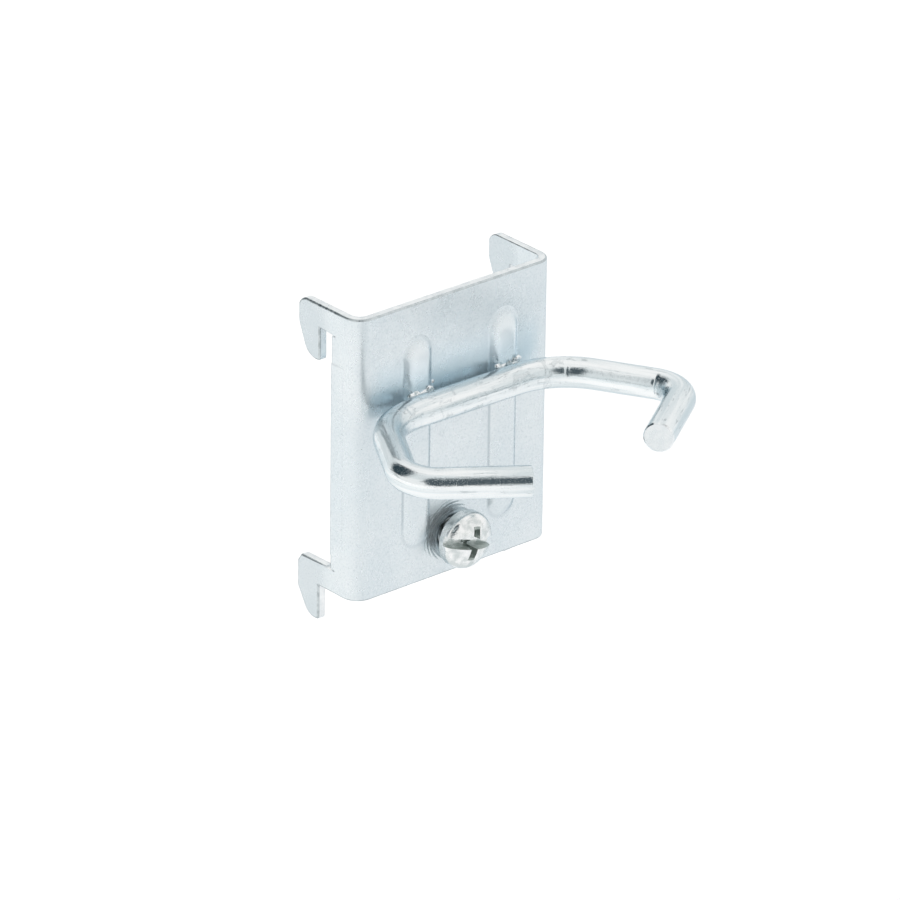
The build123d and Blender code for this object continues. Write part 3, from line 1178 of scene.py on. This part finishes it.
def wire_finish():
    """Bright zinc on drawn wire: fine lines along it, creases, and bruises from handling on the bar."""
    metal = Finish("zinc_wire", "unbent")
    drawn = metal.effect("drawn_streaks", Across=2600, Along=110)["Lines"]
    broad = metal.effect("drawn_streaks", Across=900, Along=70)["Lines"]
    grain, clouds = metal.effect("plated_grain", Fine=6500, Clouds=620)
    scuffs = metal.effect("handling_scuffs", Size=520, Rarity=0.54)["Marks"]
    back = metal.add("SeparateXYZ", {0: metal.add("TexCoord").outputs["Object"]}).outputs["Y"]
    scuffs = metal.product(metal.between(back, 0.1, 1, bar_front - wire_radius, bar_front), scuffs)
    colour = metal.mottle(broad, wire_grey, wire_pale)
    colour = metal.tint(metal.between(scuffs, 0, bruise_cover), colour, wire_bruise)
    crease = metal.product(
        metal.between(metal.off(broad, 0.5), crease_cover, 0, 0, 0.015),
        metal.between(clouds, 0, 1, 0.47, 0.58))
    colour = metal.tint(crease, colour, wire_crease)
    rough = metal.total(
        metal.vary(drawn, 0.04, 0.10), metal.between(scuffs, 0, 0.10), metal.vary(clouds, -0.01, 0.04),
        metal.between(grain, 0, 0.22, 0.48, 0.66))
    return metal.wear(colour, rough, (broad, 70), (drawn, 15), (clouds, 30), (grain, 10), (scuffs, 25))


def wire_end_finish():
    """The sawn end of the wire, scored by the blade under its plating."""
    metal = Finish("zinc_wire_end", "unbent")
    grain, clouds = metal.effect("plated_grain", Fine=4200, Clouds=900)
    blade = metal.add(
        "TexWave", {"Vector": metal.place, "Scale": 900, "Distortion": 3, "Detail": 3},
        bands_direction="DIAGONAL").outputs["Fac"]
    colour = metal.mottle(clouds, wire_end_grey, wire_end_pale)
    return metal.wear(colour, metal.vary(clouds, 0.25, 0.42), (blade, 10), (grain, 12))


def weld_finish():
    """Metal squeezed from the weld: bright and lumpy, with dark patches."""
    metal = Finish("zinc_weld")
    grain, clouds = metal.effect("plated_grain", Fine=4200, Clouds=1300)
    colour = metal.mottle(clouds, weld_dark, wire_pale, 0.38, 0.55)
    return metal.wear(colour, metal.vary(clouds, 0.12, 0.28), (clouds, 60), (grain, 10))


def screw_finish():
    """Bright zinc on the cold-headed screw, bruised by the driver and rubbed at its edges."""
    metal = Finish("zinc_screw")
    grain, clouds = metal.effect("plated_grain", Fine=4200, Clouds=800)
    scuffs = metal.effect("handling_scuffs", Size=900, Rarity=0.56)["Marks"]
    edges = metal.effect("worn_edges", Breaks=1500, Reach=0.58)["Edges"]
    colour = metal.mottle(clouds, screw_dull, screw_pale)
    colour = metal.tint(metal.between(edges, 0, rub_cover), colour, rubbed)
    rough = metal.total(metal.vary(clouds, 0.10, 0.2), metal.between(scuffs, 0, 0.14))
    return metal.wear(colour, rough, (clouds, 50), (grain, 8), (scuffs, 10))


def slot_finish():
    """Walls and floor of the slot: thin plating, with painted shade darker with depth."""
    metal = Finish("zinc_slot", metallic=slot_metallic)
    grain, clouds = metal.effect("plated_grain", Fine=5200, Clouds=1300)
    crown_y = seat_y - head_height
    back = metal.add("SeparateXYZ", {0: metal.place}).outputs["Y"]
    depth = metal.total(back, metal.vary(clouds, -0.0004, 0.0004))
    # Painted shade, darker with depth into the slot
    dark = metal.between(depth, 0, 1, crown_y + 0.4 * slot_deep, crown_y + 1.1 * slot_deep)
    colour = metal.tint(dark, slot_grey, slot_painted_shade)
    return metal.wear(colour, metal.vary(clouds, 0.25, 0.45), (grain, 12), (clouds, 30))


def cross_finish():
    """The narrow arms of the cross, painted dark as painted shade in the recess."""
    metal = Finish("zinc_cross", metallic=slot_metallic)
    clouds = metal.effect("plated_grain", Fine=5200, Clouds=1300)["Clouding"]
    colour = metal.mottle(clouds, cross_painted_shade, cross_grey, 0.45, 0.75)
    return metal.wear(colour, metal.vary(clouds, 0.3, 0.5), (clouds, 30))


def thread_finish():
    """The thread in its hole, dull and painted dark as painted shade, lighter on its rubbed crests."""
    metal = Finish("zinc_thread")
    clouds = metal.effect("plated_grain", Fine=5200, Clouds=900)["Clouding"]
    edges = metal.effect("worn_edges", Breaks=1500, Reach=0.54)["Edges"]
    colour = metal.tint(edges, metal.mottle(clouds, corner_painted_dark, corner_pale), rubbed)
    return metal.wear(colour, metal.vary(clouds, 0.25, 0.4), (clouds, 10))


make_camera()
make_world()
make_floor()
make_bracket(sheet_finish(), cut_finish(), corner_finish())
make_wire(wire_finish(), wire_end_finish())
make_weld_flash(weld_finish())
make_screw(screw_finish(), slot_finish(), cross_finish(), thread_finish())

bpy.context.scene.view_settings.view_transform = "Standard"
